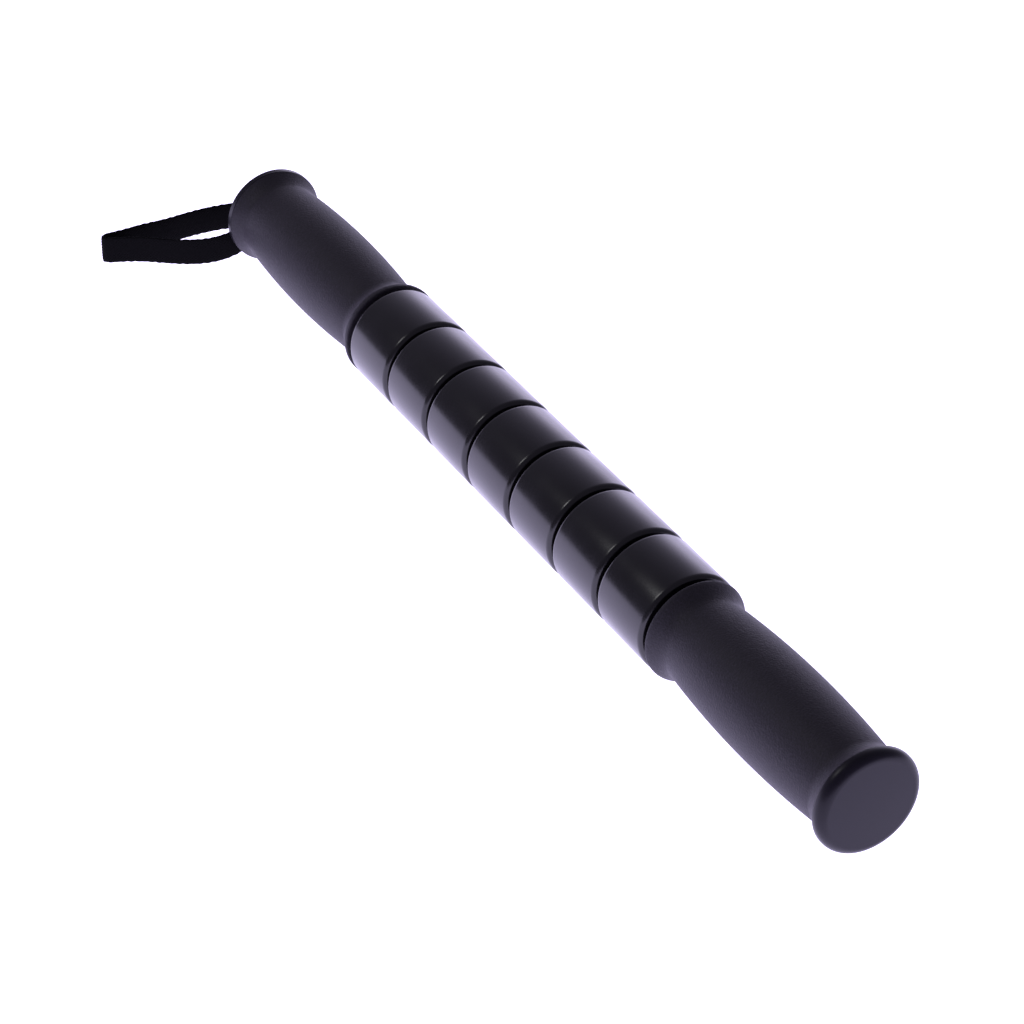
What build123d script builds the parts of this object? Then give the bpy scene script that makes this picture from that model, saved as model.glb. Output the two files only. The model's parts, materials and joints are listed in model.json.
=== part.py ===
"""Muscle-roller massage stick: seven free-running rollers on a steel rod, a foam grip at each end, and a
wrist strap of webbing through the end cap of one grip.

The stick lies on a surface at z = 0 with its axis along X. The plain end points to +X, the strap end to -X,
and the origin is under the middle of the roller row.
"""
import os
from math import radians, tan

from build123d import *

# Driving dimensions, in millimetres
BODY_RADIUS = 20.0          # rollers, collars and end caps share one radius
ROLLER_COUNT = 7
ROLLER_PITCH = 32.0
ROLLER_LENGTH = 30.4
GRIP_START = 113.1          # thrust face of the handle core, from the middle of the roller row
CAP_START = 219.2           # back of the end cap's rim, where the foam stops

# Rod and its fixings
ROD_RADIUS = 5.0
STUD_RADIUS = 4.0           # M8 thread at each end of the rod
STUD_END = 211.5
NUT_SEAT = 200.0            # floor of the counterbore in the handle core
NUT_ACROSS_FLATS = 13.0
NUT_HEIGHT = 8.0
STEEL_WASHER_RADIUS = 8.5
STEEL_WASHER_THICKNESS = 1.6
THREAD_CLEARANCE = 0.02

# Rollers
ROLLER_WALL = 3.5
ROLLER_EDGE = 2.1
WEB_THICKNESS = 3.0
HUB_RADIUS = 10.5
HUB_LENGTH = 26.6
RIB_COUNT = 6
RIB_THICKNESS = 2.0
RIB_LENGTH = 22.0
BUSH_RADIUS = 8.0
BUSH_LENGTH = 10.0
BUSH_FLANGE_RADIUS = 10.0
BUSH_FLANGE = 1.5
RUNNING_CLEARANCE = 0.06
SPACER_RADIUS = 9.0
SPACER_THICKNESS = 1.8
SPACER_CLEARANCE = 0.1

# Handles
CORE_RADIUS = 12.5
CORE_FLANGE_RADIUS = 14.5
CORE_FLANGE = 2.0
CORE_GAP = 0.5              # between the end of the core and the cap's boss
COUNTERBORE_RADIUS = 9.5
FOAM_SETBACK = {"plain": 0.8, "strap": 0.0}   # foam's face behind the core's thrust face
COLLAR_EDGE = 0.6
COLLAR_BAND = 1.5           # thrust face to the end of the collar's straight rim
NECK_RADIUS = 16.95         # narrowest ring beside the collar
NECK_OFFSET = 10.5          # its distance from the thrust face
BARREL_RADIUS = 19.15
BARREL_OFFSET = 55.0        # thrust face to the fattest ring
CREASE_RADIUS = 17.1        # narrowest ring beside the cap
CREASE_OFFSET = 98.5
FLARE_RADIUS = 19.85        # where the foam meets the cap
NECK_SLOPE = 0.09

# End caps
CAP_THICKNESS = {"plain": 4.8, "strap": 2.6}
CAP_FRONT_EDGE = {"plain": 3.4, "strap": 2.0}
CAP_BACK_EDGE = 0.4
BOSS_RADIUS = 16.8          # boss behind the rim, set into the end of the foam
BOSS_DEPTH = 1.6
BOSS_CLEARANCE = 0.1
SPIGOT_WALL = 2.0
SPIGOT_DEPTH = 6.0
SLOT_WIDTH = 6.0
SLOT_HEIGHT = 13.0
SLOT_DROP = 8.5             # slot's centre below the stick's axis
POCKET_WIDTH = 9.0
POCKET_HEIGHT = 13.4
POCKET_DEPTH = 2.2

# Wrist strap: flat webbing that stands on its edge
STRAP_WIDTH = 12.0
STRAP_THICKNESS = 1.5
LEG_OFFSET = 1.7            # each leg's centre from the slot's centre
PAD_WIDTH = 8.0
PAD_THICKNESS = 2.0

AXIS_Z = BODY_RADIUS
BOSS_START = CAP_START - BOSS_DEPTH
SLOT_Z = AXIS_Z - SLOT_DROP
POCKET_FLOOR = BOSS_START + POCKET_DEPTH
SIDES = {"plain": 1, "strap": -1}


def axial_plane(side, x):
    """Half-section plane: local X runs outwards along the stick, local Y is the radius."""
    return Plane(origin=(side * x, 0, AXIS_Z), x_dir=(side, 0, 0), z_dir=(0, -side, 0))


def cross_plane(side, x, z=AXIS_Z):
    """Plane square to the stick, facing outwards: local X lies across the stick."""
    return Plane(origin=(side * x, 0, z), x_dir=(0, side, 0), z_dir=(side, 0, 0))


STICK_AXIS = Axis((0, 0, AXIS_Z), (1, 0, 0))


def save(piece, label):
    """Name a finished piece and write it out."""
    piece.part.label = label
    export_step(piece.part, f"parts/{label}.step")


def ring(start, end, inner, outer):
    """Rectangle of a turned ring's half-section."""
    with Locations(((start + end) / 2, (inner + outer) / 2)):
        Rectangle(end - start, outer - inner)


os.makedirs("parts", exist_ok=True)

# Steel rod with a threaded stud at each end
with BuildPart() as core_rod:
    with BuildSketch(cross_plane(1, 0)):
        Circle(ROD_RADIUS)
    extrude(amount=NUT_SEAT - 0.4, both=True)
    for side in SIDES.values():
        with BuildSketch(cross_plane(side, NUT_SEAT - 0.4)):
            Circle(STUD_RADIUS)
        extrude(amount=STUD_END - NUT_SEAT + 0.4)
    chamfer(core_rod.edges().group_by(Axis.X)[0], 0.8)
    chamfer(core_rod.edges().group_by(Axis.X)[-1], 0.8)
save(core_rod, "core_rod")

# Loose acetal washers that keep the rollers apart and off the handles
with BuildPart() as spacer_washers:
    for index in range(ROLLER_COUNT + 1):
        gap_x = (index - ROLLER_COUNT / 2) * ROLLER_PITCH
        with BuildSketch(cross_plane(1, gap_x)):
            Circle(SPACER_RADIUS)
            Circle(ROD_RADIUS + SPACER_CLEARANCE, mode=Mode.SUBTRACT)
        extrude(amount=SPACER_THICKNESS / 2, both=True)
save(spacer_washers, "spacer_washers")

# Rollers: a barrel and a hub joined by a middle web and ribs, with a flanged bush in each end of the hub
for index in range(ROLLER_COUNT):
    middle = (index - (ROLLER_COUNT - 1) / 2) * ROLLER_PITCH
    with BuildPart() as roller_shell:
        with BuildSketch(axial_plane(1, middle)):
            with BuildSketch(mode=Mode.PRIVATE) as barrel:
                ring(-ROLLER_LENGTH / 2, ROLLER_LENGTH / 2, BODY_RADIUS - ROLLER_WALL, BODY_RADIUS)
                fillet(barrel.vertices().group_by(Axis.Y)[-1], ROLLER_EDGE)
            add(barrel.sketch)
            ring(-WEB_THICKNESS / 2, WEB_THICKNESS / 2, HUB_RADIUS - 1, BODY_RADIUS - ROLLER_WALL + 1)
            ring(-HUB_LENGTH / 2, HUB_LENGTH / 2, BUSH_RADIUS, HUB_RADIUS)
        revolve(axis=STICK_AXIS)
        with BuildSketch(cross_plane(1, middle)):
            rib_middle = (HUB_RADIUS + BODY_RADIUS - ROLLER_WALL) / 2
            with PolarLocations(rib_middle, RIB_COUNT):
                Rectangle(BODY_RADIUS - ROLLER_WALL - HUB_RADIUS + 1, RIB_THICKNESS)
        extrude(amount=RIB_LENGTH / 2, both=True)
    save(roller_shell, f"roller_{index + 1}_shell")

    with BuildPart() as roller_bushes:
        for side in SIDES.values():
            with BuildSketch(axial_plane(side, side * middle)):
                bore = ROD_RADIUS + RUNNING_CLEARANCE
                hub_end = HUB_LENGTH / 2
                ring(hub_end - BUSH_LENGTH, hub_end, bore, BUSH_RADIUS)
                ring(hub_end, hub_end + BUSH_FLANGE, bore, BUSH_FLANGE_RADIUS)
            revolve(axis=STICK_AXIS)
    save(roller_bushes, f"roller_{index + 1}_bushes")

# Moulded handle cores: thrust flange at the rollers, counterbore for the nut and the cap's spigot outside
for name, side in SIDES.items():
    with BuildPart() as handle_core:
        core_end = BOSS_START - CORE_GAP
        with BuildSketch(axial_plane(side, 0)):
            ring(GRIP_START, core_end, ROD_RADIUS, CORE_RADIUS)
            ring(GRIP_START, GRIP_START + CORE_FLANGE, ROD_RADIUS, CORE_FLANGE_RADIUS)
            with Locations(((NUT_SEAT + core_end) / 2, COUNTERBORE_RADIUS / 2)):
                Rectangle(core_end - NUT_SEAT, COUNTERBORE_RADIUS, mode=Mode.SUBTRACT)
        revolve(axis=STICK_AXIS)
    save(handle_core, f"{name}_handle_core")

# Foam grips: collar, neck, gently swollen barrel, second neck and a flare that meets the cap
for name, side in SIDES.items():
    with BuildPart() as grip_foam:
        with BuildSketch(axial_plane(side, GRIP_START)):
            with BuildLine():
                foam_face = FOAM_SETBACK[name]
                foam_end = CAP_START - GRIP_START
                neck = (NECK_OFFSET, NECK_RADIUS)
                crease = (CREASE_OFFSET, CREASE_RADIUS)
                rim = (COLLAR_BAND, BODY_RADIUS)
                edge_end = (foam_face + COLLAR_EDGE, BODY_RADIUS)
                RadiusArc((foam_face, BODY_RADIUS - COLLAR_EDGE), edge_end, COLLAR_EDGE)
                Line(edge_end, rim)
                Bezier(rim, (3.2, BODY_RADIUS), (NECK_OFFSET - 4, NECK_RADIUS - 4 * NECK_SLOPE), neck)
                ThreePointArc(neck, (BARREL_OFFSET, BARREL_RADIUS), crease)
                Bezier(
                    crease,
                    (CREASE_OFFSET + 2, CREASE_RADIUS - 2 * NECK_SLOPE),
                    (foam_end - 3, FLARE_RADIUS - 1.8),
                    (foam_end, FLARE_RADIUS),
                )
                Polyline(
                    (foam_end, FLARE_RADIUS),
                    (foam_end, BOSS_RADIUS + BOSS_CLEARANCE),
                    (foam_end - BOSS_DEPTH, BOSS_RADIUS + BOSS_CLEARANCE),
                    (foam_end - BOSS_DEPTH, CORE_RADIUS),
                    (CORE_FLANGE, CORE_RADIUS),
                    (CORE_FLANGE, CORE_FLANGE_RADIUS),
                    (foam_face, CORE_FLANGE_RADIUS),
                    (foam_face, BODY_RADIUS - COLLAR_EDGE),
                )
            make_face()
        revolve(axis=STICK_AXIS)
    save(grip_foam, f"{name}_grip_foam")

# End caps: a disc with a rounded rim, a boss let into the foam, and a spigot that presses into the core
for name, side in SIDES.items():
    cap_face = CAP_START + CAP_THICKNESS[name]
    with BuildPart() as end_cap:
        with BuildSketch(axial_plane(side, 0)):
            with BuildSketch(mode=Mode.PRIVATE) as disc:
                ring(CAP_START, cap_face, 0, BODY_RADIUS)
                rim_corners = disc.vertices().group_by(Axis.Y)[-1].sort_by(Axis.X)
                fillet(rim_corners[0], CAP_BACK_EDGE)
                fillet(rim_corners[-1], CAP_FRONT_EDGE[name])
            add(disc.sketch)
            ring(BOSS_START, CAP_START, 0, BOSS_RADIUS)
            ring(BOSS_START - SPIGOT_DEPTH, BOSS_START, COUNTERBORE_RADIUS - SPIGOT_WALL, COUNTERBORE_RADIUS)
        revolve(axis=STICK_AXIS)
        if name == "strap":
            with BuildSketch(cross_plane(side, POCKET_FLOOR, SLOT_Z)):
                Rectangle(POCKET_WIDTH, POCKET_HEIGHT)
            extrude(amount=-(POCKET_DEPTH + SPIGOT_DEPTH), mode=Mode.SUBTRACT)
            with BuildSketch(cross_plane(side, POCKET_FLOOR, SLOT_Z)):
                RectangleRounded(SLOT_WIDTH, SLOT_HEIGHT, 1.5)
            extrude(amount=cap_face - POCKET_FLOOR, mode=Mode.SUBTRACT)
    save(end_cap, f"{name}_end_cap")

# Steel washers and lock nuts that clamp the handle cores on the rod, one of each at both ends
with BuildPart() as end_washers:
    for side in SIDES.values():
        with BuildSketch(cross_plane(side, NUT_SEAT)):
            Circle(STEEL_WASHER_RADIUS)
            Circle(STUD_RADIUS + 0.2, mode=Mode.SUBTRACT)
        extrude(amount=STEEL_WASHER_THICKNESS)
save(end_washers, "end_washers")

with BuildPart() as lock_nuts:
    for side in SIDES.values():
        nut_start = NUT_SEAT + STEEL_WASHER_THICKNESS
        with BuildSketch(cross_plane(side, nut_start)):
            RegularPolygon(NUT_ACROSS_FLATS / 2, 6, major_radius=False)
            Circle(STUD_RADIUS + THREAD_CLEARANCE, mode=Mode.SUBTRACT)
        extrude(amount=NUT_HEIGHT - 2)
        with BuildSketch(cross_plane(side, nut_start + NUT_HEIGHT - 2)):
            Circle(NUT_ACROSS_FLATS / 2 - 0.8)
            Circle(STUD_RADIUS + THREAD_CLEARANCE, mode=Mode.SUBTRACT)
        extrude(amount=2)
save(lock_nuts, "lock_nuts")

# Folded and stitched end of the strap: too thick for the slot, trapped in the cap's pocket
with BuildPart() as strap_end_pad:
    with BuildSketch(cross_plane(-1, POCKET_FLOOR, SLOT_Z)):
        RectangleRounded(PAD_WIDTH, STRAP_WIDTH, 1)
    extrude(amount=-PAD_THICKNESS)
save(strap_end_pad, "strap_end_pad")

# Wrist strap: out of the slot, round a flat loop that rests on the surface, and back into the slot
strap_route = [
    (-POCKET_FLOOR, -LEG_OFFSET, SLOT_Z),
    (-228.6, -LEG_OFFSET, SLOT_Z),
    (-227.2, -10.2, 9.1),
    (-226.5, -18.5, 7.2),
    (-227.9, -27.0, 6.4),
    (-231.8, -35.2, 6.2),
    (-237.6, -43.2, 6.2),
    (-242.8, -49.8, 6.2),
    (-246.2, -56.4, 6.2),
    (-248.0, -61.0, 6.2),
    (-249.2, -63.5, 6.2),
    (-250.8, -64.3, 6.2),
    (-252.2, -63.2, 6.2),
    (-252.5, -60.2, 6.2),
    (-252.2, -54.6, 6.2),
    (-252.7, -45.0, 6.2),
    (-251.9, -35.6, 6.2),
    (-252.3, -26.2, 6.4),
    (-251.5, -16.8, 6.9),
    (-248.6, -8.2, 7.9),
    (-244.0, -1.9, 9.2),
    (-237.6, 1.1, 10.7),
    (-228.6, LEG_OFFSET, SLOT_Z),
    (-POCKET_FLOOR, LEG_OFFSET, SLOT_Z),
]


def corner_radii(points):
    """Arc at each corner: 0.45 of the shorter run over the tangent of half the turn."""
    radii = []
    for before, corner, after in zip(points, points[1:], points[2:]):
        run_in = Vector(corner) - Vector(before)
        run_out = Vector(after) - Vector(corner)
        half_turn = radians(run_in.get_angle(run_out) / 2)
        radii.append(0.45 * min(run_in.length, run_out.length) / tan(half_turn))
    return radii


radii = corner_radii(strap_route)
print("strap radii", [round(radius, 1) for radius in radii])
raised_route = [(x, y, z + STRAP_WIDTH / 2) for x, y, z in strap_route]
with BuildLine() as strap_middle:
    FilletPolyline(*strap_route, radius=radii)
with BuildLine() as strap_edge:
    FilletPolyline(*raised_route, radius=radii)
with BuildPart() as wrist_strap:
    with BuildSketch(cross_plane(-1, POCKET_FLOOR, SLOT_Z)):
        with Locations((LEG_OFFSET, 0)):
            Rectangle(STRAP_THICKNESS, STRAP_WIDTH)
    sweep(path=strap_middle.wire(), binormal=strap_edge.wire())
print("strap length", round(strap_middle.wire().length, 1))
print("strap volume", round(wrist_strap.part.volume, 1),
      "section times length", round(STRAP_THICKNESS * STRAP_WIDTH * strap_middle.wire().length, 1))
save(wrist_strap, "wrist_strap")
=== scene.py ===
"""Muscle-roller massage stick: seven black rollers on a steel rod, foam grips, end caps and a wrist strap."""
import json
from math import cos, pi, radians, sin

import bmesh
import bpy
import numpy as np
from mathutils import Matrix, Vector


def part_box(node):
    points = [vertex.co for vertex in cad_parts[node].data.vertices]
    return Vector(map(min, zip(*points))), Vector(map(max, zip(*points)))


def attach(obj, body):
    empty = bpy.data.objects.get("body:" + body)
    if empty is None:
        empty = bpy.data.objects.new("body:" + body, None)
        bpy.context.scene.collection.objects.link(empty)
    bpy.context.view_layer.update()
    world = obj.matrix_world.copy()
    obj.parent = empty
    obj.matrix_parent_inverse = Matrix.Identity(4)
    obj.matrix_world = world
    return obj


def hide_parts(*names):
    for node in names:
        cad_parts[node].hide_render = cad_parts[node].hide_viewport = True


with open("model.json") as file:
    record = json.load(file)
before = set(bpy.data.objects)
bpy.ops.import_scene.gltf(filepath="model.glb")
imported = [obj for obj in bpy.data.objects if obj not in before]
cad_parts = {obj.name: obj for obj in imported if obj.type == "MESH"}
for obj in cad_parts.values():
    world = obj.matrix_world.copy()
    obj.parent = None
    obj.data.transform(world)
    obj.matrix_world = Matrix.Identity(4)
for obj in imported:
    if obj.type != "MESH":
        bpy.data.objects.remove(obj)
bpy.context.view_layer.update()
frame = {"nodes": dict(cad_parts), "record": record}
nodes = frame["nodes"]
bodies = frame["record"]["behaviour"]["bodies"]
roller_bodies = sorted(name for name in bodies if name.startswith("roller_"))

# ---------------------------------------------------------------------------------------------------------
# Steel rod with its washers and lock nuts
# Cold-drawn 10 mm steel rod, threaded at both ends. Zinc-plated washers and nuts clamp the handles on it.
# ---------------------------------------------------------------------------------------------------------


class Field:
    """A shader socket used in sums: each operator adds one Math node, with plain numbers on either side."""

    def __init__(self, tree, socket):
        self.tree = tree
        self.socket = socket

    def math(self, operation, *values):
        node = self.tree.nodes.new("ShaderNodeMath")
        node.operation = operation
        for socket, value in zip(node.inputs, values):
            plug(self.tree, socket, value)
        return Field(self.tree, node.outputs[0])

    def __add__(self, other):
        return self.math("ADD", self, other)

    def __sub__(self, other):
        return self.math("SUBTRACT", self, other)

    def __rsub__(self, other):
        return self.math("SUBTRACT", other, self)

    def __mul__(self, other):
        return self.math("MULTIPLY", self, other)

    def __pow__(self, other):
        return self.math("POWER", self, other)

    __radd__ = __add__
    __rmul__ = __mul__

    def within(self, low, high):
        """The field held between two numbers."""
        return self.math("MINIMUM", self.math("MAXIMUM", self, low), high)


def plug(tree, socket, value):
    """Links a field to a socket, or sets the socket's own number or colour."""
    if isinstance(value, Field):
        tree.links.new(value.socket, socket)
    else:
        socket.default_value = value


class Finish:
    """A material in the making, with one Principled shader whose fixed values are set on its own sockets."""

    def __init__(self, name, fixed):
        self.material = bpy.data.materials.new(name)
        self.material.use_nodes = True
        self.tree = self.material.node_tree
        self.shader = self.tree.nodes["Principled BSDF"]
        for socket, value in fixed.items():
            self.shader.inputs[socket].default_value = value

    def node(self, kind, settings, inputs, output=0):
        """Adds a node of any kind: settings first, then its sockets, and gives back one output."""
        node = self.tree.nodes.new(kind)
        for name, value in settings.items():
            setattr(node, name, value)
        for name, value in inputs.items():
            plug(self.tree, node.inputs[name], value)
        return Field(self.tree, node.outputs[output])

    def place(self, stretch=(1, 1, 1)):
        """Object coordinates in metres, stretched along each axis."""
        here = self.node("ShaderNodeTexCoord", {}, {}, "Object")
        return self.node("ShaderNodeMapping", {}, {"Vector": here, "Scale": stretch})

    def noise(self, vector, scale, detail=2.0, roughness=0.5):
        """Cloudy noise from 0 to 1, with its features about 1 / scale metres across."""
        inputs = {"Vector": vector, "Scale": scale, "Detail": detail, "Roughness": roughness}
        return self.node("ShaderNodeTexNoise", {}, inputs, "Fac")

    def tint(self, factor, dark, light):
        """Colour between two others by a field."""
        mix = self.tree.nodes.new("ShaderNodeMix")
        mix.data_type = "RGBA"
        plug(self.tree, mix.inputs[0], factor)
        mix.inputs[6].default_value = (*dark, 1)
        mix.inputs[7].default_value = (*light, 1)
        return Field(self.tree, mix.outputs[2])

    def paint(self, socket, field):
        """Links a varying value to one of the shader's sockets."""
        plug(self.tree, self.shader.inputs[socket], field)

    def relief(self, height, depth):
        """Bumps the surface by a height field, depth metres from 0 to 1."""
        inputs = {"Height": height, "Distance": depth, "Strength": 1.0}
        self.paint("Normal", self.node("ShaderNodeBump", {}, inputs, "Normal"))


def dress(material, *names):
    """Gives CAD nodes a material."""
    for name in names:
        nodes[name].data.materials.clear()
        nodes[name].data.materials.append(material)


def drawn_steel():
    """Bright drawn bar: fine streaks along the rod and a trace of oil."""
    finish = Finish("drawn steel", {"Metallic": 1.0})
    streaks = finish.noise(finish.place((30, 900, 900)), 1.0, 3.0)
    smear = finish.noise(finish.place(), 90.0)
    finish.paint("Base Color", finish.tint(smear, (0.42, 0.42, 0.43), (0.62, 0.62, 0.61)))
    finish.paint("Roughness", 0.22 + 0.2 * streaks)
    finish.relief(streaks, 0.00002)
    return finish.material


def zinc_plate():
    """Bright zinc: faintly yellow-blue, with a soft mottle."""
    finish = Finish("zinc plate", {"Metallic": 1.0})
    mottle = finish.noise(finish.place(), 700.0, 3.0)
    finish.paint("Base Color", finish.tint(mottle, (0.55, 0.57, 0.6), (0.72, 0.7, 0.62)))
    finish.paint("Roughness", 0.24 + 0.16 * mottle)
    return finish.material


dress(drawn_steel(), "core_rod")
dress(zinc_plate(), "end_washers", "lock_nuts")

# ---------------------------------------------------------------------------------------------------------
# Bushes and spacer washers
# Natural acetal: the bushes are pressed into each roller's hub, and the washers lie loose on the rod.
# ---------------------------------------------------------------------------------------------------------


def acetal():
    """Waxy off-white plastic with rubbing marks round the rod."""
    finish = Finish("acetal", {"Subsurface Weight": 0.15, "Subsurface Scale": 0.001})
    rub = finish.noise(finish.place((2500, 300, 300)), 1.0, 3.0)
    finish.paint("Base Color", finish.tint(rub, (0.5, 0.48, 0.42), (0.66, 0.64, 0.58)))
    finish.paint("Roughness", 0.35 + 0.2 * rub)
    return finish.material


dress(acetal(), "spacer_washers", *(f"{name}_bushes" for name in roller_bodies))

# ---------------------------------------------------------------------------------------------------------
# Rollers
# Hollow barrels moulded in black plastic, satin outside. Rounded shoulders at both ends; inside, a middle
# web and six ribs carry the hub. Each one turns on its own bushes.
# ---------------------------------------------------------------------------------------------------------
ROLLER_SIDES = 144
SHOULDER = 0.0021
WALL = 0.0035
WEB = 0.0015
HUB = 0.0105
HUB_BORE = 0.008
HUB_HALF = 0.0133
RIBS = 6
RIB_HALF_LENGTH = 0.011
RIB_HALF_THICKNESS = 0.001
ARC_POINTS_PER_METRE = 3000


def rounded(corners):
    """Outline through (x, r, radius) corners in turn, closed: each corner with a radius becomes an arc.

    The arc touches both sides at radius / tan(half the corner's angle) from the corner.
    """
    points = []
    for index, (x, r, radius) in enumerate(corners):
        corner = np.array((x, r))
        before = np.array(corners[index - 1][:2]) - corner
        after = np.array(corners[(index + 1) % len(corners)][:2]) - corner
        before /= np.linalg.norm(before)
        after /= np.linalg.norm(after)
        if radius == 0:
            points.append(corner[None])
            continue
        half = np.arccos(np.clip(before @ after, -1, 1)) / 2
        middle = corner + (before + after) / np.linalg.norm(before + after) * radius / sin(half)
        start = corner + before * radius / np.tan(half) - middle
        steps = max(4, int(radius * ARC_POINTS_PER_METRE) + 3)
        turn = np.linspace(0, pi - 2 * half, steps)
        side = corner + after * radius / np.tan(half) - middle
        square = side - start * (side @ start) / radius**2
        square *= radius / np.linalg.norm(square)
        points.append(middle + np.outer(np.cos(turn), start) + np.outer(np.sin(turn), square))
    return np.concatenate(points)


def turned(profile, sides, axis_height):
    """Grid of points: (x, r) turned about the stick's axis, as x, r cos a, axis_height + r sin a."""
    angle = np.linspace(0, 2 * pi, sides, endpoint=False)
    x, r = profile[:, :1], profile[:, 1:]
    return np.stack([x + 0 * angle, r * np.cos(angle), axis_height + r * np.sin(angle)], axis=-1)


def skin(name, grids, sharp=40):
    """Mesh object from grids of points that wrap both ways; rows drawn to a point at a pole are merged."""
    vertices, faces, offset = [], [], 0
    for grid in grids:
        rows, columns = grid.shape[:2]
        index = offset + np.arange(rows * columns).reshape(rows, columns)
        right = np.roll(index, -1, axis=1)
        below = np.roll(index, -1, axis=0)
        corner = np.roll(below, -1, axis=1)
        faces.append(np.stack([index, right, corner, below], axis=-1).reshape(-1, 4))
        vertices.append(grid.reshape(-1, 3))
        offset += rows * columns
    mesh = bpy.data.meshes.new(name)
    mesh.from_pydata(np.concatenate(vertices).tolist(), [], np.concatenate(faces).tolist())
    work = bmesh.new()
    work.from_mesh(mesh)
    bmesh.ops.remove_doubles(work, verts=work.verts, dist=1e-7)
    bmesh.ops.recalc_face_normals(work, faces=work.faces)
    work.to_mesh(mesh)
    work.free()
    mesh.shade_smooth()
    mesh.set_sharp_from_angle(angle=radians(sharp))
    piece = bpy.data.objects.new(name, mesh)
    bpy.context.scene.collection.objects.link(piece)
    return piece


def plate(middle, size, angle, axis_height):
    """Grid of a flat rib: a rounded box (4 rows of 4 corners) turned by angle about the stick's axis."""
    half = np.array(size) / 2
    ends = np.array([(-1, -1), (1, -1), (1, 1), (-1, 1)])
    shrink = np.array([0, 1, 1, 0])
    along = np.array([-1, -1, 1, 1])
    grid = np.zeros((4, 4, 3))
    grid[..., 0] = middle[0] + along[:, None] * half[0]
    grid[..., 1] = middle[1] + shrink[:, None] * ends[:, 0] * half[1]
    grid[..., 2] = middle[2] + shrink[:, None] * ends[:, 1] * half[2]
    turn = np.array([[1, 0, 0], [0, cos(angle), -sin(angle)], [0, sin(angle), cos(angle)]])
    return grid @ turn.T + np.array((0, 0, axis_height))


def roller_plastic():
    """Black moulded plastic: glossy skin, faint flow clouds and fine handling scuffs round the barrel."""
    finish = Finish("roller plastic", {"Specular IOR Level": 0.5})
    clouds = finish.noise(finish.place(), 60.0, 3.0)
    scuffs = finish.noise(finish.place((400, 60, 60)), 6.0, 4.0, 0.6)
    orange_peel = finish.noise(finish.place(), 1400.0)
    finish.paint("Base Color", finish.tint(clouds, (0.001, 0.001, 0.0012), (0.004, 0.0036, 0.005)))
    finish.paint("Roughness", (0.13 + 0.14 * clouds + 0.06 * scuffs).within(0.14, 0.4))
    finish.relief(orange_peel, 0.000012)
    return finish.material


roller_skin = roller_plastic()
for body in roller_bodies:
    low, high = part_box(f"{body}_shell")
    start, end, radius = low.x, high.x, (high.y - low.y) / 2
    axis_height = (low.z + high.z) / 2
    middle = (start + end) / 2
    section = rounded(
        [
            (start, radius, SHOULDER),
            (end, radius, SHOULDER),
            (end, radius - WALL, 0.0002),
            (middle + WEB, radius - WALL, 0.001),
            (middle + WEB, HUB, 0.001),
            (middle + HUB_HALF, HUB, 0.0003),
            (middle + HUB_HALF, HUB_BORE, 0),
            (middle - HUB_HALF, HUB_BORE, 0),
            (middle - HUB_HALF, HUB, 0.0003),
            (middle - WEB, HUB, 0.001),
            (middle - WEB, radius - WALL, 0.001),
            (start, radius - WALL, 0.0002),
        ]
    )
    rib_reach = (HUB + radius - WALL) / 2
    rib_size = (2 * RIB_HALF_LENGTH, radius - WALL - HUB + 0.001, 2 * RIB_HALF_THICKNESS)
    grids = [turned(section, ROLLER_SIDES, axis_height)]
    for rib in range(RIBS):
        grids.append(plate((middle, rib_reach, 0), rib_size, 2 * pi * rib / RIBS, axis_height))
    roller = skin(f"{body}_barrel", grids)
    roller.data.materials.append(roller_skin)
    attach(roller, body)
    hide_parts(f"{body}_shell")

# ---------------------------------------------------------------------------------------------------------
# Handle cores
# Moulded nylon tubes that fit the rod. The foam is glued on them, and a flange takes the rollers' thrust.
# ---------------------------------------------------------------------------------------------------------


def core_nylon():
    """Dull black nylon with a fine spark-eroded grain."""
    finish = Finish("core nylon", {})
    grain = finish.noise(finish.place(), 2600.0, 3.0)
    finish.paint("Base Color", finish.tint(grain, (0.012, 0.012, 0.013), (0.02, 0.02, 0.021)))
    finish.paint("Roughness", 0.5 + 0.2 * grain)
    finish.relief(grain, 0.00003)
    return finish.material


dress(core_nylon(), "plain_handle_core", "strap_handle_core")

# ---------------------------------------------------------------------------------------------------------
# Foam grips
# Closed-cell rubber foam, ground to shape: a collar at the rollers, a neck, a swollen barrel, a second neck
# and a flare that meets the cap. Glued on the handle core.
# ---------------------------------------------------------------------------------------------------------
GRIP_SIDES = 192
COLLAR_EDGE = 0.0006
COLLAR_BAND = 0.0015
NECK_RADIUS = 0.01695
NECK_OFFSET = 0.0105
BARREL_RADIUS = 0.01915
BARREL_OFFSET = 0.055
CREASE_RADIUS = 0.0171
CREASE_OFFSET = 0.0985
FLARE_RADIUS = 0.01985
RECESS_RADIUS = 0.0169
RECESS_DEPTH = 0.0016
NECK_SLOPE = 0.09
FOAM_SETBACK = {"plain": 0.0008, "strap": 0}
CORE_RADIUS = 0.0125
FLANGE_RADIUS = 0.0145
FLANGE = 0.002


def bezier(points, steps):
    """Cubic curve through its two outer points, pulled by the inner two: the Bernstein sum over t."""
    t = np.linspace(0, 1, steps)[:, None]
    a, b, c, d = np.array(points, float)
    return (1 - t) ** 3 * a + 3 * t * (1 - t) ** 2 * b + 3 * t**2 * (1 - t) * c + t**3 * d


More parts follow.
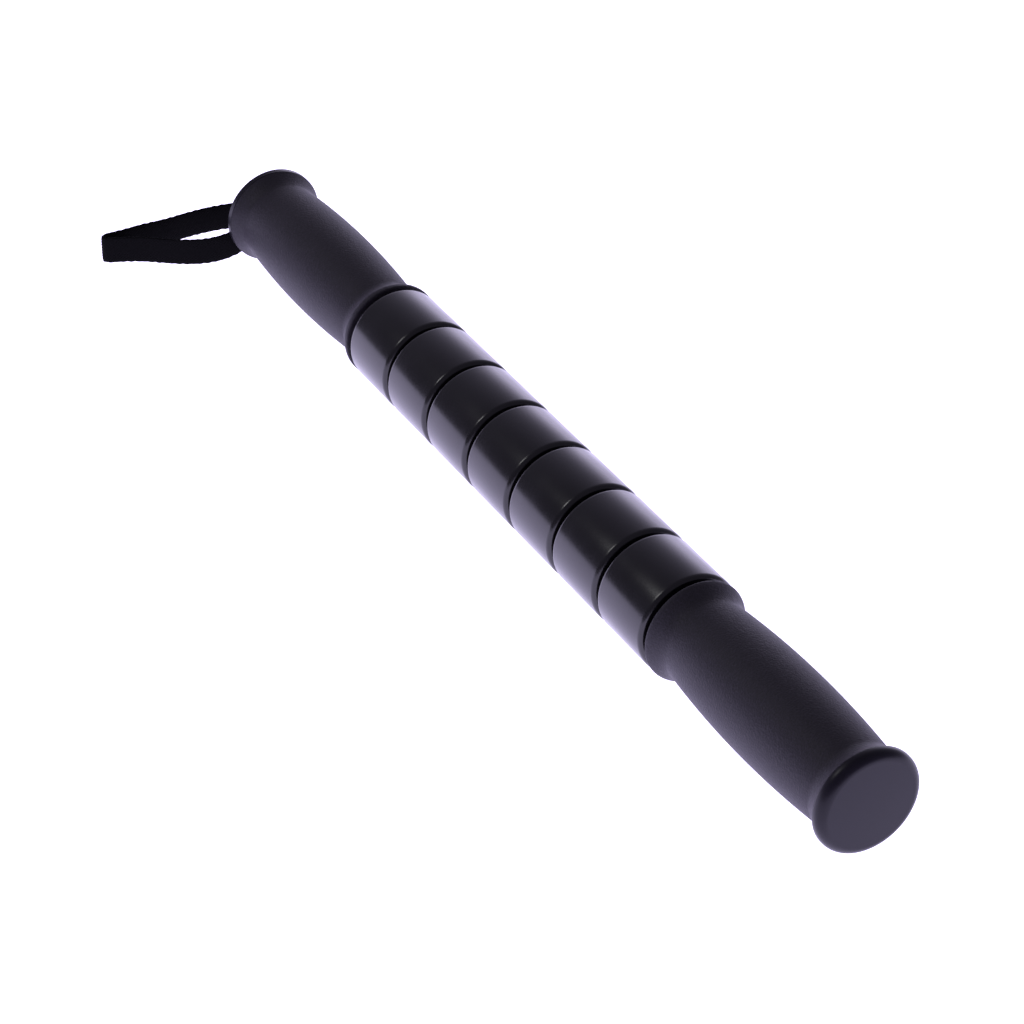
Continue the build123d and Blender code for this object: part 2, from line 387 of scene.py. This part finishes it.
def bow(start, top, end, steps):
    """Arc of the circle through three points: its centre is the same distance from all of them."""
    start, top, end = (np.array(point) for point in (start, top, end))
    halves = [(top @ top - start @ start) / 2, (end @ end - start @ start) / 2]
    centre = np.linalg.solve([top - start, end - start], halves)
    turns = np.arctan2(*(start - centre)[::-1]), np.arctan2(*(end - centre)[::-1])
    angle = np.linspace(*turns, steps)
    return centre + np.linalg.norm(start - centre) * np.stack([np.cos(angle), np.sin(angle)], axis=-1)


def grip_section(face, length, radius):
    """Closed outline of the foam from its collar face to the cap, measured from the core's thrust face."""
    neck = (NECK_OFFSET, NECK_RADIUS)
    top = (BARREL_OFFSET, BARREL_RADIUS)
    crease = (CREASE_OFFSET, CREASE_RADIUS)
    edge_turn = np.linspace(pi, pi / 2, 8)[:, None]
    edge_middle = np.array((face + COLLAR_EDGE, radius - COLLAR_EDGE))
    edge = edge_middle + COLLAR_EDGE * np.concatenate([np.cos(edge_turn), np.sin(edge_turn)], axis=1)
    pull = NECK_RADIUS - 0.004 * NECK_SLOPE
    collar = bezier([(COLLAR_BAND, radius), (0.0032, radius), (NECK_OFFSET - 0.004, pull), neck], 24)
    lift = (CREASE_OFFSET + 0.002, CREASE_RADIUS - 0.002 * NECK_SLOPE)
    rise = bezier([crease, lift, (length - 0.003, FLARE_RADIUS - 0.0018), (length, FLARE_RADIUS)], 20)
    floor = length - RECESS_DEPTH
    recess = [(length, RECESS_RADIUS), (floor, RECESS_RADIUS), (floor, CORE_RADIUS)]
    inside = np.array([*recess, (FLANGE, CORE_RADIUS), (FLANGE, FLANGE_RADIUS), (face, FLANGE_RADIUS)])
    return np.concatenate([edge, collar, bow(neck, top, crease, 60)[1:-1], rise, inside])


def grip_foam():
    """Near-black foam skin: fine closed cells, a few larger pits, and a soft dusty sheen."""
    finish = Finish(
        "grip foam",
        {
            "Specular IOR Level": 0.35,
            "Sheen Weight": 0.05,
            "Sheen Roughness": 0.4,
            "Sheen Tint": (0.8, 0.72, 0.95, 1),
        },
    )
    pores = {"Vector": finish.place(), "Scale": 1500.0}
    cells = finish.node("ShaderNodeTexVoronoi", {"feature": "F1"}, pores, "Distance")
    dust = finish.noise(finish.place(), 1100.0, 4.0, 0.65)
    patches = finish.noise(finish.place(), 45.0, 3.0)
    speckle = (cells * 0.7 + dust * 0.9 + patches * 0.3 - 0.25).within(0, 1)
    finish.paint("Base Color", finish.tint(speckle, (0.0015, 0.0012, 0.0022), (0.0155, 0.0128, 0.02)))
    finish.paint("Roughness", 0.5 + 0.2 * dust)
    finish.relief(cells + 0.6 * dust, 0.0001)
    return finish.material


foam = grip_foam()
for end, side in (("plain", 1), ("strap", -1)):
    low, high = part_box(f"{end}_grip_foam")
    setback = FOAM_SETBACK[end]
    radius = (high.y - low.y) / 2
    thrust_face = (low.x if side > 0 else high.x) - side * setback
    section = grip_section(setback, high.x - low.x + setback, radius)
    section[:, 0] = thrust_face + side * section[:, 0]
    grip = skin(f"{end}_grip", [turned(section, GRIP_SIDES, (low.z + high.z) / 2)])
    grip.data.materials.append(foam)
    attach(grip, "stick")
    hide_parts(f"{end}_grip_foam")

# ---------------------------------------------------------------------------------------------------------
# End caps
# Flat discs moulded in dark slate plastic with a soft rim. A spigot behind presses into the handle core.
# The strapped end's cap has an upright slot, with a pocket behind it for the strap's stitched end.
# ---------------------------------------------------------------------------------------------------------
CAP_SIDES = 192
CAP_THICKNESS = 0.0048
CAP_FRONT_EDGE = 0.0034
CAP_BACK_EDGE = 0.0004
BOSS_RADIUS = 0.0168
BOSS_DEPTH = 0.0016
SPIGOT_OUTER = 0.0095
SPIGOT_INNER = 0.0075


def cap_plastic():
    """Slate-black moulded plastic: even satin face with a very fine grain."""
    finish = Finish("cap plastic", {"Specular IOR Level": 0.2})
    clouds = finish.noise(finish.place(), 110.0, 3.0)
    grain = finish.noise(finish.place(), 3000.0, 2.0)
    finish.paint("Base Color", finish.tint(clouds, (0.0045, 0.0038, 0.0075), (0.0075, 0.0062, 0.0115)))
    finish.paint("Roughness", 0.3 + 0.08 * clouds)
    finish.relief(grain, 0.00001)
    return finish.material


cap_skin = cap_plastic()
low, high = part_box("plain_end_cap")
axis_height = (low.z + high.z) / 2
radius = (high.y - low.y) / 2
back = high.x - CAP_THICKNESS
section = rounded(
    [
        (high.x, 0, 0),
        (high.x, radius, CAP_FRONT_EDGE),
        (back, radius, CAP_BACK_EDGE),
        (back, BOSS_RADIUS, 0),
        (back - BOSS_DEPTH, BOSS_RADIUS, 0.0003),
        (back - BOSS_DEPTH, SPIGOT_OUTER, 0.0003),
        (low.x, SPIGOT_OUTER, 0.0004),
        (low.x, SPIGOT_INNER, 0.0003),
        (back - BOSS_DEPTH, SPIGOT_INNER, 0.0005),
        (back - BOSS_DEPTH, 0, 0),
    ]
)
cap = skin("plain_cap", [turned(section, CAP_SIDES, axis_height)])
cap.data.materials.append(cap_skin)
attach(cap, "stick")
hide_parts("plain_end_cap")
dress(cap_skin, "strap_end_cap")

# ---------------------------------------------------------------------------------------------------------
# Wrist strap
# 12 mm black nylon webbing, woven with heavy cross ribs and looped edges. Both ends are stitched into a pad
# behind the slot. The loop lies on its edge, pinched nearly flat at its far end.
# ---------------------------------------------------------------------------------------------------------
STRAP_WIDTH = 0.012
STRAP_THICKNESS = 0.0015
STRAP_STEPS = 460
STRAP_SIDES = 144
RIB_PITCH = 0.00145
YARNS = 9
RIB_HEIGHT = 0.00014
SCALLOP = 0.00008
STRAP_ROUTE = [
    (-0.2198, -0.0017, 0.0115),
    (-0.2286, -0.0017, 0.0115),
    (-0.2272, -0.0102, 0.0091),
    (-0.2265, -0.0185, 0.0072),
    (-0.2279, -0.0270, 0.0064),
    (-0.2318, -0.0352, 0.0062),
    (-0.2376, -0.0432, 0.0062),
    (-0.2428, -0.0498, 0.0062),
    (-0.2462, -0.0564, 0.0062),
    (-0.2480, -0.0610, 0.0062),
    (-0.2492, -0.0635, 0.0062),
    (-0.2508, -0.0643, 0.0062),
    (-0.2522, -0.0632, 0.0062),
    (-0.2525, -0.0602, 0.0062),
    (-0.2522, -0.0546, 0.0062),
    (-0.2527, -0.0450, 0.0062),
    (-0.2519, -0.0356, 0.0062),
    (-0.2523, -0.0262, 0.0064),
    (-0.2515, -0.0168, 0.0069),
    (-0.2486, -0.0082, 0.0079),
    (-0.2440, -0.0019, 0.0092),
    (-0.2376, 0.0011, 0.0107),
    (-0.2286, 0.0017, 0.0115),
    (-0.2198, 0.0017, 0.0115),
]


def spline_line(name, route, steps):
    """Points of the smooth NURBS spline that has the route as its control points, evenly spaced."""
    curve = bpy.data.curves.new(name, "CURVE")
    curve.dimensions = "3D"
    spline = curve.splines.new("NURBS")
    spline.points.add(len(route) - 1)
    for point, place in zip(spline.points, route):
        point.co = (*place, 1)
    spline.order_u = 3
    spline.use_endpoint_u = True
    spline.resolution_u = 24
    holder = bpy.data.objects.new(name, curve)
    line = bpy.data.meshes.new_from_object(holder)
    points = np.array([vertex.co for vertex in line.vertices], float)
    bpy.data.objects.remove(holder)
    travelled = np.r_[0, np.cumsum(np.linalg.norm(np.diff(points, axis=0), axis=1))]
    even = np.linspace(0, travelled[-1], steps)
    return np.stack([np.interp(even, travelled, points[:, k]) for k in range(3)], axis=-1), travelled[-1]


def webbing(middle, length):
    """Grid of the strap's surface, a flat rounded section carried along its middle line.

    Round the section, v gives (sin v, cos v), squared off by a power. The faces rise with the weave, which
    is sine ribs along the length times cosine yarns across it. The edges swell and shrink by two sines of
    different pitch.
    """
    along = np.gradient(middle, axis=0)
    along /= np.linalg.norm(along, axis=1)[:, None]
    upright = np.array((0, 0, 1)) - along[:, 2:] * along
    upright /= np.linalg.norm(upright, axis=1)[:, None]
    outward = np.cross(along, upright)
    travelled = np.linspace(0, length, len(middle))[:, None]
    v = np.linspace(0, 2 * pi, STRAP_SIDES, endpoint=False)[None]
    across = np.sign(np.sin(v)) * np.abs(np.sin(v)) ** 0.7
    through = np.sign(np.cos(v)) * np.abs(np.cos(v)) ** 0.35
    rib = np.sin(2 * pi * travelled / RIB_PITCH)
    yarn = np.cos(pi * YARNS * across)
    face = 1 - across**8
    lift = RIB_HEIGHT * rib * yarn * face
    swell = np.sin(pi * travelled / RIB_PITCH) + np.sin(2.3 * travelled / RIB_PITCH)
    scallop = SCALLOP * swell * across**6
    half_width = STRAP_WIDTH / 2 - 0.00025 + scallop
    half_thickness = STRAP_THICKNESS / 2 - 0.0001 + lift
    wide = (across * half_width)[..., None] * upright[:, None]
    thick = (through * half_thickness)[..., None] * outward[:, None]
    return middle[:, None] + wide + thick


def closed_ends(grid):
    """The grid with one row drawn to a point added at each end, so that the tube is shut."""
    first = np.repeat(grid[:1].mean(axis=1, keepdims=True), grid.shape[1], axis=1)
    last = np.repeat(grid[-1:].mean(axis=1, keepdims=True), grid.shape[1], axis=1)
    return np.concatenate([first, grid, last])


def nylon_webbing():
    """Black nylon yarn: fine threads, a little lint, almost no gloss."""
    finish = Finish("nylon webbing", {"Specular IOR Level": 0.06})
    threads = finish.noise(finish.place((900, 900, 3200)), 1.0, 3.0)
    lint = finish.noise(finish.place(), 2500.0, 3.0, 0.7)
    finish.paint("Base Color", finish.tint(threads, (0.0004, 0.0004, 0.0006), (0.0022, 0.002, 0.0028)))
    finish.paint("Roughness", 0.6 + 0.25 * lint)
    finish.relief(threads + 0.5 * lint, 0.00012)
    return finish.material


strap_middle, strap_length = spline_line("strap line", STRAP_ROUTE, STRAP_STEPS)
strap = skin("webbing_strap", [closed_ends(webbing(strap_middle, strap_length))], sharp=75)
webbing_black = nylon_webbing()
strap.data.materials.append(webbing_black)
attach(strap, "stick")
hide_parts("wrist_strap")
dress(webbing_black, "strap_end_pad")

# ---------------------------------------------------------------------------------------------------------
# Studio
# A pale table that gives off light, a bright wall behind, a softbox high up and the camera down the stick.
# ---------------------------------------------------------------------------------------------------------
CAMERA_AZIMUTH = radians(61.2)
CAMERA_ELEVATION = radians(33.9)
CAMERA_DISTANCE = 1.2985
AIM = Vector((0.0013, 0, 0.020))
FRAME_RIGHT = 0.0084
FRAME_UP = 0.0144
TABLE_REACH = 4.0
TABLE_GLOW = 2.3
ROOM = 0.24
WALL_GLOW = 0.54
BACKDROP = 2.4
BACKDROP_WAY = (-0.73, 0.683, 0.02)
SOFTBOX_PLACE = Vector((-0.6, -0.83, 1.11))
SOFTBOX_SIZE = 0.35
SOFTBOX_POWER = 2.5

table = bpy.data.objects.new("table", bpy.data.meshes.new("table"))
corners = [(x * TABLE_REACH, y * TABLE_REACH, 0) for x, y in ((-1, -1), (1, -1), (1, 1), (-1, 1))]
table.data.from_pydata(corners, [], [(0, 1, 2, 3)])
table_paint = Finish(
    "table paint",
    {
        "Base Color": (0.5, 0.5, 0.5, 1),
        "Roughness": 0.9,
        "Specular IOR Level": 0.0,
        "Emission Color": (0.75, 0.69, 1, 1),
        "Emission Strength": TABLE_GLOW,
    },
)
table.data.materials.append(table_paint.material)
bpy.context.scene.collection.objects.link(table)

world = bpy.data.worlds.new("studio")
world.use_nodes = True
room = world.node_tree
sky = room.nodes["Background"]
sky.inputs["Color"].default_value = (0.79, 0.73, 1, 1)
toward = room.nodes.new("ShaderNodeVectorMath")
toward.operation = "DOT_PRODUCT"
room.links.new(room.nodes.new("ShaderNodeTexCoord").outputs["Generated"], toward.inputs[0])
toward.inputs[1].default_value = BACKDROP_WAY
facing = Field(room, toward.outputs["Value"]).within(0, 1)
plug(room, sky.inputs["Strength"], ROOM + WALL_GLOW * facing**3 + BACKDROP * facing**20)
bpy.context.scene.world = world

lamp = bpy.data.lights.new("overhead", "AREA")
lamp.size = SOFTBOX_SIZE
lamp.energy = SOFTBOX_POWER
softbox = bpy.data.objects.new("overhead", lamp)
turn = SOFTBOX_PLACE.to_track_quat("Z", "Y").to_matrix().to_4x4()
softbox.matrix_world = Matrix.Translation(SOFTBOX_PLACE) @ turn
bpy.context.scene.collection.objects.link(softbox)

camera = bpy.data.objects.new("camera", bpy.data.cameras.new("camera"))
camera.data.lens = 124.3
camera.data.sensor_width = 36.0
right = Vector((cos(CAMERA_AZIMUTH), sin(CAMERA_AZIMUTH), 0))
level = Vector((sin(CAMERA_AZIMUTH), -cos(CAMERA_AZIMUTH), 0))
back_way = level * cos(CAMERA_ELEVATION) + Vector((0, 0, sin(CAMERA_ELEVATION)))
up = back_way.cross(right)
camera.matrix_world = Matrix.Translation(
    AIM + back_way * CAMERA_DISTANCE - right * FRAME_RIGHT - up * FRAME_UP
) @ Matrix((right, up, back_way)).transposed().to_4x4()
bpy.context.scene.collection.objects.link(camera)
bpy.context.scene.camera = camera
bpy.context.scene.view_settings.view_transform = "Standard"
